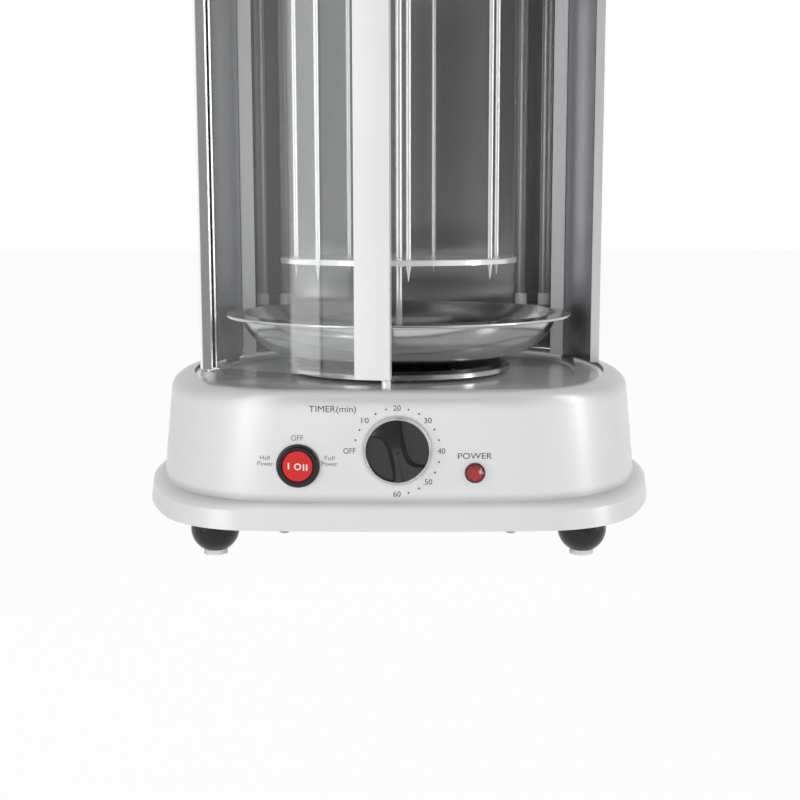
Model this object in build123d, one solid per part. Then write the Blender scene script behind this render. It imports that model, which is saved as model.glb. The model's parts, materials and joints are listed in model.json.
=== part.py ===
from build123d import *
import math
import os

# Vertical doner kebab grill: a painted base with its controls, a steel heater
# housing open at the front, one curved glass door, and a motor-driven carousel
# of pan, spindle, discs and skewers. Millimetres, +Z up, the front faces -Y.
# The pieces are drawn about the middle of the base, then moved back a little,
# so that the origin is on the table under the middle of the whole part.

# Levels, measured up from the table
skirt_foot_z = 24.0
skirt_band_h = 10.0
flare_h = 4.4
shoulder_h = 9.1
rim_z = 95.3
rim_to_ledge = 1.7
wall_gap = 2.7
housing_h = 301.7
cover_h = 40.0
middle_y = 1.17

# Base outlines: half width, half depth, corner, front and side radius
skirt_half_w = 146.0
skirt_half_d = 127.5
skirt_corner_r = 59.0
skirt_front_r = 1400.0
skirt_side_r = 214.0
skirt_draft = 1.3
wall_foot_half_w = 137.8
wall_foot_half_d = 122.5
wall_foot_corner_r = 74.7
wall_head_half_w = 132.9
wall_head_half_d = 121.5
wall_head_corner_r = 76.8
wall_front_r = 1000.0
rim_half_w = 119.8
rim_half_d = 114.8
rim_corner_r = 60.0
rim_side_r = 200.0
base_sheet = 1.2
lip_w = 12.0
lip_hole_r = 2.2

# Bottom plate, feet and their screws
plate_t = 1.2
foot_x = 100.35
foot_y = 77.3
foot_r = 13.2
foot_pad_r = 6.4
foot_pad_h = 2.6
foot_screw_r = 2.0
foot_screw_grip = 9.0
screw_head_r = 3.8
screw_head_h = 2.3
base_screw_x = 58.0
vent_l = 34.0
vent_w = 4.0
vent_pitch = 10.0
plate_vents = 5

# Tray plate in the top of the base
tray_t = 0.8
tray_fit = 0.25
tray_bead_half_w = 104.5
tray_bead_half_d = 88.6
tray_bead_corner_r = 70.0
tray_bead_front_r = 150.0
tray_dish_h = 1.0

# Carousel, turning about the spindle
spindle_y = -10.0
fit = 0.05
shaft_r = 4.0
shaft_flat = 1.0
bush_r = 8.0
bush_flange_r = 12.0
bush_flange_h = 1.0
turntable_r = 64.8
turntable_rim_h = 3.0
turntable_t = 1.0
turntable_lift = 2.15
turntable_boss_r = 10.0
hub_flange_r = 60.0
hub_flange_h = 1.2
hub_boss_r = 15.0
hub_h = 5.85
hub_screw_ring_r = 56.0
hub_screws = 3
hub_screw_deg = -57.9
hub_screw_head_r = 3.0
hub_screw_head_h = 1.4
socket_r = 4.8
socket_h = 14.4
socket_bore_depth = 12.0
pan_rim_r = 100.0
pan_mouth_r = 92.3
pan_flat_r = 62.0
pan_depth = 24.2
pan_rim_drop = 1.3
pan_sheet = 0.9
pan_edge_r = 0.9
spindle_r = 1.9
disc_r = 68.5
disc_t = 1.0
disc_rim_h = 3.0
lower_disc_z = 159.6
upper_disc_z = 362.0
disc_collar_r = 6.0
disc_collar_h = 2.0
skewer_ring_r = 61.0
skewers = 7
holes_per_skewer = 3
first_skewer_deg = 5.3
skewer_r = 1.3
skewer_hole_fit = 0.2
skewer_below_disc = 11.5
skewer_point_h = 7.0
skewer_eye_r = 5.0

# Drive under the tray
motor_r = 25.0
motor_h = 18.0
gearbox_r = 15.0
gearbox_h = 7.0
motor_lug_l = 64.0
motor_lug_w = 12.0
motor_lug_t = 2.0
bracket_t = 1.5
bracket_w = 36.0
bracket_half_l = 42.0
bracket_drop = 9.0
bracket_flange_l = 14.0

# Controls on the front wall
control_lift = 0.3
knob_x = 0.0
knob_z = 65.2
knob_ring_r = 17.75
knob_ring_taper = 0.55
knob_ring_h = 4.8
knob_r = 15.75
knob_edge_h = 4.4
knob_floor_h = 2.0
knob_bar_h = 7.6
knob_bore_h = 4.0
knob_wall_deg = 23.0
knob_point_deg = 11.5
knob_groove_w = 1.0
knob_groove_l = 12.0
timer_shaft_r = 2.5
timer_body_w = 42.0
timer_body_h = 34.0
timer_body_d = 26.0
timer_drum_r = 17.0
timer_drum_d = 6.0
timer_collar_r = 5.0
switch_x = -50.7
switch_z = 57.0
switch_bezel_r = 11.2
switch_bezel_h = 2.4
switch_body_r = 9.8
switch_body_d = 22.0
rocker_r = 8.0
rocker_gap = 0.3
rocker_pivot_depth = 2.0
rocker_rise = 2.6
switch_blade_w = 4.8
switch_blade_t = 0.8
switch_blade_l = 8.0
lamp_x = 39.5
lamp_z = 53.5
lamp_lens_r = 5.2
lamp_lens_h = 4.6
lamp_body_r = 4.0
lamp_body_d = 16.0
lamp_facets = 8
terminal_x = 62.0
terminal_y = 62.0
terminal_w = 40.0
terminal_d = 16.0
terminal_h = 14.0
gland_x = -50.0
gland_z = 58.0
gland_r = 8.0
gland_hole_r = 3.6
gland_h = 7.0

# Edge of the knob's left finger well, pointer down, from the rim below to the rim above
knob_well_edge = [
    (-4.5, -17.5),
    (-3.5, -10.0),
    (-3.4, -4.9),
    (-3.7, 1.3),
    (-4.8, 6.1),
    (-7.0, 8.9),
    (-10.6, 10.5),
    (-16.0, 11.8),
]

# Heater housing
housing_sheet = 0.8
shell_inset = 0.7
flange_rel_y = 10.0
liner_r = 112.3
lip_end_x = 92.4
reflector_x = 2.0
reflector_half_w = 99.7
reflector_back_y = 92.0
reflector_corner_r = 22.0
shell_tab_w = 18.0
shell_vents = 7
shell_vent_pitch = 14.0
shell_vent_z = 330.0
element_r = 3.25
element_y = 80.0
element_inner_x = 77.0
element_outer_x = 92.0
element_foot_z = 126.0
element_top_z = 384.0
ceramic_r = 4.0
ceramic_h = 7.0
terminal_pin_r = 1.4
terminal_pin_l = 9.0
shelf_t = 1.5
shelf_x = 71.0
shelf_y = 68.0
clip_t = 1.2
clip_w = 8.0

# Top of the grill
top_sheet = 1.2
cover_gap = 0.7
cover_draft = 1.2
cover_shoulder_r = 13.0
cover_overlap = 2.0
cover_screw_z = 404.5
cover_screw_y = 40.0
cover_tab_w = 18.0
cover_tab_h = 10.0
cover_vents = 5
cover_vent_pitch = 14.0
cover_vent_y = 72.0
top_bush_r = 6.0
top_bush_flange_r = 9.0
top_bush_flange_h = 3.0
top_bush_h = 10.0
spindle_in_bush = 7.0

# Door
hinge_x = -103.3
hinge_y = -65.7
door_end_x = -3.45
door_end_y = -115.0
door_r = 200.0
glass_t = 3.0
glass_fit = 0.1
glass_inset = 1.5
door_foot_z = 100.3
door_head_gap = 6.7
strip_w = 18.3
strip_t = 1.2
hinge_profile_w = 9.5
hinge_pin_r = 1.5
hinge_bush_r = 2.9
hinge_bush_flange_r = 3.5
hinge_bush_flange_h = 5.2
hinge_pin_depth = 3.6
stop_r = 2.5
stop_gap = 0.3

# Sizes worked out from those above
skirt_top_z = skirt_foot_z + skirt_band_h
wall_foot_z = skirt_top_z + flare_h
wall_head_z = rim_z - shoulder_h
ledge_z = rim_z - rim_to_ledge
tray_under_z = ledge_z - tray_t
dish_z = ledge_z - tray_dish_h
plate_z = skirt_foot_z + base_sheet
plate_top_z = plate_z + plate_t
wall_z = ledge_z + wall_gap
housing_top_z = wall_z + housing_h
top_plate_top_z = housing_top_z + top_sheet
cover_foot_z = housing_top_z - cover_overlap
cover_top_z = top_plate_top_z + cover_h
turntable_z = dish_z + turntable_lift
turntable_top_z = turntable_z + turntable_rim_h
pan_z = turntable_top_z + hub_h
spindle_foot_z = pan_z + socket_h - socket_bore_depth
spindle_top_z = housing_top_z + spindle_in_bush
door_head_z = housing_top_z - door_head_gap
skirt = (skirt_half_w, skirt_half_d, skirt_corner_r, skirt_front_r, skirt_side_r)
wall_foot = (wall_foot_half_w, wall_foot_half_d, wall_foot_corner_r, wall_front_r, skirt_side_r)
wall_head = (wall_head_half_w, wall_head_half_d, wall_head_corner_r, wall_front_r, skirt_side_r)
rim = (rim_half_w, rim_half_d, rim_corner_r, wall_front_r, rim_side_r)


def inset(level, amount):
    """The same outline drawn a distance further in."""
    return tuple(size - amount for size in level)


shell = inset(rim, shell_inset)
tray_bead = (tray_bead_half_w, tray_bead_half_d, tray_bead_corner_r, tray_bead_front_r, skirt_side_r)
cover = inset(rim, tray_fit - cover_gap - top_sheet)


def outline(level, z=0.0):
    """A flat face bounded by eight tangent arcs, bulging on all four sides."""
    half_w, half_d, corner_r, front_r, side_r = level
    front = Vector(0, front_r - half_d)
    side = Vector(half_w - side_r, 0)
    reach_f = front_r - corner_r
    reach_s = side_r - corner_r
    span = side - front
    along = (span.length**2 + reach_f**2 - reach_s**2) / (2 * span.length)
    across = math.sqrt(reach_f**2 - along**2)
    unit = span.normalized()
    corner = front + unit * along + Vector(-unit.Y, unit.X) * across
    to_front = (corner - front).normalized()
    to_side = (corner - side).normalized()
    p_front = front + to_front * front_r
    p_side = side + to_side * side_r
    p_mid = corner + (to_front + to_side).normalized() * corner_r

    def flip(point, sx, sy):
        return (point.X * sx, point.Y * sy)

    edges = [
        ThreePointArc(flip(p_front, -1, 1), (0, -half_d), flip(p_front, 1, 1)),
        ThreePointArc(flip(p_front, 1, 1), flip(p_mid, 1, 1), flip(p_side, 1, 1)),
        ThreePointArc(flip(p_side, 1, 1), (half_w, 0), flip(p_side, 1, -1)),
        ThreePointArc(flip(p_side, 1, -1), flip(p_mid, 1, -1), flip(p_front, 1, -1)),
        ThreePointArc(flip(p_front, 1, -1), (0, half_d), flip(p_front, -1, -1)),
        ThreePointArc(flip(p_front, -1, -1), flip(p_mid, -1, -1), flip(p_side, -1, -1)),
        ThreePointArc(flip(p_side, -1, -1), (-half_w, 0), flip(p_side, -1, 1)),
        ThreePointArc(flip(p_side, -1, 1), flip(p_mid, -1, 1), flip(p_front, -1, 1)),
    ]
    return Pos(0, 0, z) * make_face(edges)


def slab(level, z0, z1):
    """A straight prism on an outline."""
    return extrude(outline(level, z0), z1 - z0)


def cylinder(radius, z0, z1, x=0.0, y=0.0):
    """An upright cylinder between two levels."""
    return Pos(x, y, (z0 + z1) / 2) * Cylinder(radius, z1 - z0)


def block(x0, x1, y0, y1, z0, z1):
    """A box between two corners."""
    middle = Pos((x0 + x1) / 2, (y0 + y1) / 2, (z0 + z1) / 2)
    return middle * Box(x1 - x0, y1 - y0, z1 - z0)


def turned(points, x=0.0, y=0.0):
    """A closed profile of radius and height, turned about an upright axis."""
    face = make_face(Polyline(*[(r, 0, z) for r, z in points], close=True))
    return Pos(x, y, 0) * revolve(face, Axis.Z)


def panel(x, z):
    """A plane on the outside of the front wall, its Z facing out."""
    share = (z - wall_foot_z) / (wall_head_z - wall_foot_z)
    depth = wall_foot_half_d + (wall_head_half_d - wall_foot_half_d) * share
    lean = math.atan2(wall_foot_half_d - wall_head_half_d, wall_head_z - wall_foot_z)
    turn = math.asin(x / wall_front_r)
    sag = wall_front_r * (1 - math.cos(turn))
    normal = (math.sin(turn), -math.cos(turn) * math.cos(lean), math.sin(lean))
    return Plane(origin=(x, sag - depth, z), x_dir=(math.cos(turn), math.sin(turn), 0), z_dir=normal)


def blend(low, high, z0, z1, steps, gap):
    """Outlines that go from one level to another by shares of the rise and of the draw."""
    faces = []
    for rise, draw in steps:
        level = tuple(a + (b - a) * draw for a, b in zip(low, high))
        faces.append(outline(inset(level, gap), z0 + (z1 - z0) * rise))
    return faces


def base_form(gap, drop):
    """The outer form of the base, or its hollow, drawn in by gap and lowered by drop on top."""
    skirt_top = inset(skirt, skirt_draft)
    flare_steps = [(0.0, 0.0), (0.3, 0.25), (0.6, 0.52), (1.0, 1.0)]
    shoulder_steps = [(0.0, 0.0), (0.383, 0.076), (0.707, 0.293), (0.924, 0.617), (1.0, 1.0)]
    straight = [(0.0, 0.0), (1.0, 1.0)]
    head_z = wall_head_z - drop
    form = loft(blend(skirt, skirt_top, skirt_foot_z, skirt_top_z, straight, gap), ruled=True)
    form += loft(blend(skirt_top, wall_foot, skirt_top_z, wall_foot_z, flare_steps, gap))
    form += loft(blend(wall_foot, wall_head, wall_foot_z, head_z, straight, gap), ruled=True)
    return form + loft(blend(wall_head, rim, head_z, rim_z - drop, shoulder_steps, gap))


def slot(length, width, depth):
    """A round-ended slot through a wall that lies in XY."""
    return extrude(SlotOverall(length, width), depth, both=True)


def base_housing():
    """Painted shell with skirt, shoulder, sunk top and control holes."""
    body = base_form(0, 0)
    body -= slab(rim, tray_under_z, rim_z + 1)
    body -= base_form(base_sheet, rim_z - tray_under_z + base_sheet)
    body -= slab(inset(tray_bead, -2 * tray_dish_h), tray_under_z - 3 * base_sheet, rim_z)
    lip = slab(inset(skirt, base_sheet / 2), skirt_foot_z, plate_z)
    body += lip - slab(inset(skirt, lip_w), skirt_foot_z, plate_z)
    for x, y in base_screw_places():
        body -= cylinder(lip_hole_r, skirt_foot_z - 1, plate_z + 1, x, y)
    reach = 4 * base_sheet
    body -= panel(knob_x, knob_z).location * Cylinder(timer_collar_r + fit, reach)
    body -= panel(switch_x, switch_z).location * Cylinder(switch_body_r + fit, reach)
    body -= panel(lamp_x, lamp_z).location * Cylinder(lamp_body_r + fit, reach)
    body -= gland_place() * Cylinder(gland_r - 2 + fit, reach)
    body -= hinge_hole(tray_under_z - 2 * base_sheet, rim_z)
    return body


def gland_place():
    """The cable gland's seat on the outside of the rear wall."""
    return mirror_y(panel(gland_x, gland_z))


def mirror_y(plane):
    """The same seat on the rear wall, its Z facing out."""
    o, n, x = plane.origin, plane.z_dir, plane.x_dir
    return Plane(origin=(o.X, -o.Y, o.Z), x_dir=(-x.X, x.Y, -x.Z), z_dir=(n.X, -n.Y, n.Z)).location


def base_screw_places():
    """Screws through the lip, front and rear."""
    y = skirt_half_d - lip_w / 2 - base_sheet / 2
    return [(sx * base_screw_x, sy * y) for sx in (-1, 1) for sy in (-1, 1)]


def foot_places():
    """The four feet: front left, front right, rear left, rear right."""
    return [(sx * foot_x, sy * foot_y) for sy in (-1, 1) for sx in (-1, 1)]


def bottom_plate():
    """Steel plate on the lip, with vents, foot holes and terminal holes."""
    plate = slab(inset(skirt, base_sheet + 2 * tray_fit), plate_z, plate_top_z)
    for x, y in foot_places():
        plate -= cylinder(foot_screw_r + fit, plate_z - 1, plate_top_z + 1, x, y)
    for x, y in base_screw_places():
        plate -= cylinder(lip_hole_r, plate_z - 1, plate_top_z + 1, x, y)
    for index in range(plate_vents):
        x = (index - (plate_vents - 1) / 2) * vent_pitch
        plate -= Pos(x, foot_y - vent_l, plate_z) * Rot(0, 0, 90) * slot(vent_l, vent_w, 2 * plate_t)
        plate -= Pos(x, vent_l - foot_y, plate_z) * Rot(0, 0, 90) * slot(vent_l, vent_w, 2 * plate_t)
    return plate


def domed_screw(shank_r, grip, head_r, head_h):
    """A pan-head screw, its seat at z = 0 and its head above."""
    dome_r = (head_r**2 + head_h**2) / (2 * head_h)
    dome = Pos(0, 0, head_h - dome_r) * Sphere(dome_r)
    head = dome & Pos(0, 0, head_h / 2) * Cylinder(head_r, head_h)
    recess_l = head_r * 1.1
    recess = Pos(0, 0, head_h) * (Box(recess_l, head_h / 3, head_h) + Box(head_h / 3, recess_l, head_h))
    return head - recess + Pos(0, 0, -grip / 2) * Cylinder(shank_r, grip)


def base_screws():
    """Lip screws, heads under the skirt."""
    grip = base_sheet + plate_t + 2.0
    screw = domed_screw(lip_hole_r - fit, grip, screw_head_r, screw_head_h)
    return [Pos(x, y, skirt_foot_z) * Rot(180, 0, 0) * screw for x, y in base_screw_places()]


def foot():
    """A ball foot flattened for its pad below and for the plate above."""
    centre_z = foot_pad_h + math.sqrt(foot_r**2 - foot_pad_r**2)
    ball = Pos(0, 0, centre_z) * Sphere(foot_r)
    ball &= cylinder(foot_r, foot_pad_h, plate_z)
    return ball - cylinder(foot_screw_r + fit, plate_z - foot_screw_grip - 1, plate_z + 1)


def foot_pads():
    """Felt discs under the feet."""
    return [cylinder(foot_pad_r, 0, foot_pad_h, x, y) for x, y in foot_places()]


def foot_screws():
    """Screws from inside the base into the feet."""
    screw = domed_screw(foot_screw_r, foot_screw_grip + plate_t, screw_head_r, screw_head_h)
    return [Pos(x, y, plate_top_z) * screw for x, y in foot_places()]


def tray_plate():
    """Pressed steel tray: a flat ledge, a step and a sunk floor."""
    slope = 2 * tray_dish_h
    plate = slab(inset(rim, tray_fit), tray_under_z, ledge_z)
    plate += slab(inset(tray_bead, -slope / 2), dish_z - tray_t, tray_under_z)
    plate -= loft([outline(inset(tray_bead, slope), dish_z), outline(tray_bead, ledge_z)], ruled=True)
    plate -= cylinder(bush_r + fit, dish_z - 2 * tray_t, ledge_z, 0, spindle_y)
    return plate - hinge_hole(tray_under_z - 1, rim_z)


def hinge_hole(z0, z1):
    """The hole that takes the lower or upper hinge bush."""
    return cylinder(hinge_bush_r + fit, z0, z1, hinge_x, hinge_y)


def turntable_bush():
    """Flanged bronze bush in the tray for the drive shaft."""
    top_z = dish_z + bush_flange_h
    foot_z = dish_z - tray_t - bracket_drop + bracket_t
    outer = cylinder(bush_r, foot_z, dish_z, 0, spindle_y)
    outer += cylinder(bush_flange_r, dish_z, top_z, 0, spindle_y)
    return outer - cylinder(shaft_r + fit, foot_z - 1, top_z + 1, 0, spindle_y)


def motor_bracket():
    """Hat-shaped strap under the tray that hangs the gear motor."""
    top_z = dish_z - tray_t
    web_z = top_z - bracket_drop
    half_w = bracket_w / 2
    reach = bracket_half_l + bracket_flange_l
    outer = block(-bracket_half_l, bracket_half_l, -half_w, half_w, web_z, top_z)
    inner_l = bracket_half_l - bracket_t
    outer -= block(-inner_l, inner_l, -half_w - 1, half_w + 1, web_z + bracket_t, top_z + 1)
    wings = block(-reach, reach, -half_w, half_w, top_z - bracket_t, top_z)
    outer += wings - block(-inner_l, inner_l, -half_w - 1, half_w + 1, web_z, top_z + 1)
    outer -= cylinder(shaft_r + 1, web_z - 1, web_z + bracket_t + 1)
    for side in (-1, 1):
        outer -= cylinder(foot_screw_r + fit, web_z - 1, web_z + bracket_t + 1, side * (motor_lug_l / 2 - 4))
    return Pos(0, spindle_y, 0) * outer


def gear_motor():
    """Synchronous gear motor: can, gearbox, lugs and two screws."""
    top_z = dish_z - tray_t - bracket_drop
    body = cylinder(gearbox_r, top_z - gearbox_h, top_z) + cylinder(motor_r, top_z - gearbox_h - motor_h, top_z - gearbox_h)
    body = fillet(body.edges().sort_by(Axis.Z)[0], 2)
    half_l, half_w = motor_lug_l / 2, motor_lug_w / 2
    lug_z = top_z - gearbox_h
    body += block(-half_l, half_l, -half_w, half_w, lug_z - motor_lug_t, lug_z)
    for side in (-1, 1):
        x = side * (half_l - 4)
        body += cylinder(screw_head_r, lug_z, top_z, x) + cylinder(foot_screw_r, lug_z, top_z + 4, x)
    body -= cylinder(shaft_r + fit, top_z - gearbox_h, top_z + 1)
    return Pos(0, spindle_y, 0) * body


def drive_shaft():
    """Motor shaft with a flat at its head."""
    foot_z = dish_z - tray_t - bracket_drop - gearbox_h + 1
    shaft = cylinder(shaft_r, foot_z, turntable_top_z, 0, spindle_y)
    flat = shaft_r - shaft_flat
    cut = block(flat, shaft_r + 1, spindle_y - shaft_r, spindle_y + shaft_r, turntable_z, turntable_top_z + 1)
    return shaft - cut


def turntable():
    """Shallow inverted dish that the motor turns."""
    profile = [
        (0, turntable_z),
        (turntable_boss_r, turntable_z),
        (turntable_boss_r, turntable_top_z - turntable_t),
        (turntable_r - turntable_t, turntable_top_z - turntable_t),
        (turntable_r - turntable_t, turntable_z),
        (turntable_r, turntable_z),
        (turntable_r, turntable_top_z - turntable_t / 2),
        (turntable_r - turntable_t / 2, turntable_top_z),
        (0, turntable_top_z),
    ]
    dish = turned(profile, 0, spindle_y)
    bore = cylinder(shaft_r + fit, turntable_z - 1, turntable_top_z + 1, 0, spindle_y)
    flat = shaft_r - shaft_flat + fit
    bore -= block(flat, shaft_r + 1, spindle_y - shaft_r, spindle_y + shaft_r, turntable_z - 1, turntable_top_z + 1)
    for x, y in hub_screw_places():
        bore += cylinder(foot_screw_r + fit, turntable_z, turntable_top_z + 1, x, y)
    return dish - bore


def hub_screw_places():
    """The ring of screws that hold the drive hub to the turntable."""
    places = []
    for index in range(hub_screws):
        angle = math.radians(hub_screw_deg + 360 * index / hub_screws)
        places.append((hub_screw_ring_r * math.cos(angle), spindle_y + hub_screw_ring_r * math.sin(angle)))
    return places


def drive_hub():
    """Hub that carries the pan and holds the spindle in its socket."""
    top_z = pan_z + socket_h
    flange_z = turntable_top_z + hub_flange_h
    profile = [
        (0, turntable_top_z),
        (hub_flange_r, turntable_top_z),
        (hub_flange_r, flange_z),
        (hub_boss_r + 3, flange_z),
        (hub_boss_r, flange_z + 2),
        (hub_boss_r, pan_z),
        (socket_r, pan_z),
        (socket_r, top_z - 0.8),
        (socket_r - 0.8, top_z),
        (0, top_z),
    ]
    hub = turned(profile, 0, spindle_y)
    hub -= cylinder(spindle_r + fit, spindle_foot_z, top_z + 1, 0, spindle_y)
    for x, y in hub_screw_places():
        hub -= cylinder(foot_screw_r + fit, turntable_top_z - 1, flange_z + 1, x, y)
    return hub


def drive_hub_screws():
    """Screws down through the hub flange into the turntable."""
    flange_z = turntable_top_z + hub_flange_h
    grip = hub_flange_h + turntable_t
    screw = domed_screw(foot_screw_r, grip, hub_screw_head_r, hub_screw_head_h)
    return [Pos(x, y, flange_z) * screw for x, y in hub_screw_places()]


def drip_pan():
    """Spun pan: flat floor, curved wall, sloping rim with a rolled edge."""
    rise = pan_depth
    run = pan_mouth_r - pan_flat_r
    bend = (run**2 + rise**2) / (2 * rise)
    half = math.atan2(run, bend - rise) / 2
    mid = (pan_flat_r + bend * math.sin(half), pan_z + bend * (1 - math.cos(half)))
    top_z = pan_z + rise
    inner = bend - pan_sheet
    reach = math.atan2(run, bend - rise)
    in_end = (pan_flat_r + inner * math.sin(reach), pan_z + bend - inner * math.cos(reach))
    in_mid = (pan_flat_r + inner * math.sin(half), pan_z + bend - inner * math.cos(half))
    edge_z = top_z - pan_rim_drop

    def at(point):
        return (point[0], 0, point[1])

    hole_r = socket_r + tray_fit
    profile = [
        Line(at((hole_r, pan_z)), at((pan_flat_r, pan_z))),
        ThreePointArc(at((pan_flat_r, pan_z)), at(mid), at((pan_mouth_r, top_z - pan_sheet / 2))),
        Line(at((pan_mouth_r, top_z - pan_sheet / 2)), at((pan_rim_r - pan_edge_r, edge_z - pan_sheet / 2))),
        Line(at((pan_rim_r - pan_edge_r, edge_z - pan_sheet / 2)), at((pan_rim_r - pan_edge_r, edge_z + pan_sheet / 2))),
        Line(at((pan_rim_r - pan_edge_r, edge_z + pan_sheet / 2)), at((in_end[0], top_z + pan_sheet / 2))),
        ThreePointArc(at((in_end[0], top_z + pan_sheet / 2)), at(in_mid), at((pan_flat_r, pan_z + pan_sheet))),
        Line(at((pan_flat_r, pan_z + pan_sheet)), at((hole_r, pan_z + pan_sheet))),
        Line(at((hole_r, pan_z + pan_sheet)), at((hole_r, pan_z))),
    ]
    pan = Pos(0, spindle_y, 0) * revolve(make_face(profile), Axis.Z)
    edge = Pos(0, spindle_y, edge_z) * Torus(pan_rim_r - pan_edge_r, pan_edge_r)
    return pan + edge


def spindle():
    """Centre rod from the socket to the top bush."""
    rod = cylinder(spindle_r, spindle_foot_z, spindle_top_z, 0, spindle_y)
    return chamfer(rod.edges().sort_by(Axis.Z)[-1], spindle_r / 3)


def skewer_places():
    """Where the skewers stand, counted from the front towards the right."""
    places = []
    for index in range(skewers):
        angle = math.radians(first_skewer_deg + 360 * index / skewers)
        places.append((skewer_ring_r * math.sin(angle), spindle_y - skewer_ring_r * math.cos(angle)))
    return places


def skewer_disc(z):
    """Shallow inverted dish with a ring of skewer holes, its plate on top at z."""
    rim_in = disc_r - disc_t
    profile = [
        (0, z - disc_t),
        (rim_in, z - disc_t),
        (rim_in, z - disc_rim_h),
        (disc_r, z - disc_rim_h),
        (disc_r, z - disc_t / 2),
        (disc_r - disc_t / 2, z),
        (0, z),
    ]
    disc = turned(profile, 0, spindle_y)
    holes = skewers * holes_per_skewer
    for index in range(holes):
        angle = math.radians(first_skewer_deg + 360 * index / holes)
        x = skewer_ring_r * math.sin(angle)
        y = spindle_y - skewer_ring_r * math.cos(angle)
        disc -= cylinder(skewer_r + skewer_hole_fit, z - 2, z + 2, x, y)
    return disc - cylinder(spindle_r + fit, z - 2, z + 2, 0, spindle_y)


def disc_collars():
    """Clamping collars on the spindle, under the discs and inside their rims."""
    collars = []
    for z in (lower_disc_z, upper_disc_z):
        head_z = z - disc_t
        foot_z = head_z - disc_collar_h
        collar = cylinder(disc_collar_r, foot_z, head_z, 0, spindle_y)
        collar = chamfer(collar.edges().sort_by(Axis.Z)[0], 0.4)
        bore = cylinder(spindle_r + fit, foot_z - 1, head_z + 1, 0, spindle_y)
        screw_hole = Pos(disc_collar_r, spindle_y, foot_z + disc_collar_h / 2) * Rot(0, 90, 0)
        collars.append(collar - bore - screw_hole * Cylinder(0.6, disc_collar_r))
    return collars


def skewer(x, y):
    """Pointed rod with an eye that rests on the upper disc."""
    tip_z = lower_disc_z - skewer_below_disc
    eye_z = upper_disc_z + skewer_eye_r + skewer_r
    rod = cylinder(skewer_r, tip_z + skewer_point_h, eye_z - skewer_eye_r, x, y)
    point = Pos(x, y, tip_z + skewer_point_h / 2) * Cone(0.2, skewer_r, skewer_point_h)
    angle = math.degrees(math.atan2(y - spindle_y, x))
    eye = Pos(x, y, eye_z) * Rot(0, 0, angle) * Rot(0, 90, 0) * Torus(skewer_eye_r, skewer_r)
    return rod + point + eye


def timer_unit():
    """Clockwork timer behind the panel: plate, case, drum and bell."""
    back = -base_sheet - control_lift
    case = Pos(0, 0, back - timer_body_d / 2) * Box(timer_body_w, timer_body_h, timer_body_d)
    case = fillet(case.edges().filter_by(Axis.Z), 3)
    case += Pos(0, 0, back - timer_body_d - timer_drum_d / 2) * Cylinder(timer_drum_r, timer_drum_d)
    case += Pos(0, 0, back / 2 + control_lift / 2) * Cylinder(timer_collar_r, -back + control_lift)
    depth = timer_body_d - 4
    case -= Pos(0, 0, back - depth / 2 + 4) * Cylinder(timer_shaft_r + fit, depth + 8)
    return panel(knob_x, knob_z).location * case


def timer_shaft():
    """Shaft from the clockwork to the knob, with a flat."""
    foot = -base_sheet - control_lift - timer_body_d + 9
    head = control_lift + knob_bore_h - 0.2
    rod = Pos(0, 0, (foot + head) / 2) * Cylinder(timer_shaft_r, head - foot)
    flat = Pos(0, timer_shaft_r + 0.5, head) * Box(2 * timer_shaft_r, timer_shaft_r, 2 * knob_bore_h)
    return panel(knob_x, knob_z).location * (rod - flat)


def well_face(z):
    """Outline of the left finger well at a height, wider towards the top."""
    middle_z = (knob_floor_h + knob_bar_h) / 2
    lean = (middle_z - z) * math.tan(math.radians(knob_wall_deg))
    edge = Spline(*knob_well_edge)
    points = []
    for index in range(len(knob_well_edge)):
        share = index / (len(knob_well_edge) - 1)
        heading = edge.tangent_at(share)
        points.append(edge.position_at(share) + Vector(-heading.Y, heading.X) * lean)
    first, last, far = points[0], points[-1], -2 * knob_r
    outside = Polyline((last.X, last.Y), (far, last.Y), (far, far), (first.X, far), (first.X, first.Y))
    return Pos(0, 0, z) * make_face([Spline(*points), outside])


def knob_well():
    """The left finger well beside the knob's bar."""
    return loft([well_face(knob_floor_h), well_face(knob_bar_h + 1)], ruled=True)


def timer_knob():
    """Black insert with a bar between two finger wells and a pointer groove."""
    crown = knob_bar_h - knob_edge_h
    dome_r = (knob_r**2 + crown**2) / (2 * crown)
    body = Pos(0, 0, knob_bar_h / 2) * Cylinder(knob_r, knob_bar_h)
    body &= Pos(0, 0, knob_bar_h - dome_r) * Sphere(dome_r)
    well = knob_well()
    body -= well
    body -= Rot(0, 0, 180) * well
    groove_y = knob_r - knob_groove_l / 2
    groove_z = knob_bar_h - dome_r + math.sqrt(dome_r**2 - groove_y**2)
    tilt = math.degrees(math.asin(groove_y / dome_r))
    body -= Pos(0, -groove_y, groove_z) * Rot(tilt, 0, 0) * Box(knob_groove_w, knob_groove_l, 2 * knob_groove_w)
    body -= Pos(0, 0, knob_bore_h / 2 - fit) * Cylinder(timer_shaft_r + fit, knob_bore_h)
    placed = Pos(0, 0, control_lift) * Rot(0, 0, knob_point_deg) * body
    return panel(knob_x, knob_z).location * placed


def knob_ring():
    """Plated ring round the black insert, a little narrower towards the front."""
    inner = knob_r + fit
    front_r = knob_ring_r - knob_ring_taper
    profile = [
        (inner, 0),
        (knob_ring_r, 0),
        (front_r, knob_ring_h - 0.6),
        (front_r - 0.4, knob_ring_h),
        (inner + 0.3, knob_ring_h),
        (inner, knob_ring_h - 0.3),
    ]
    return panel(knob_x, knob_z).location * (Pos(0, 0, control_lift) * turned(profile))


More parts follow.
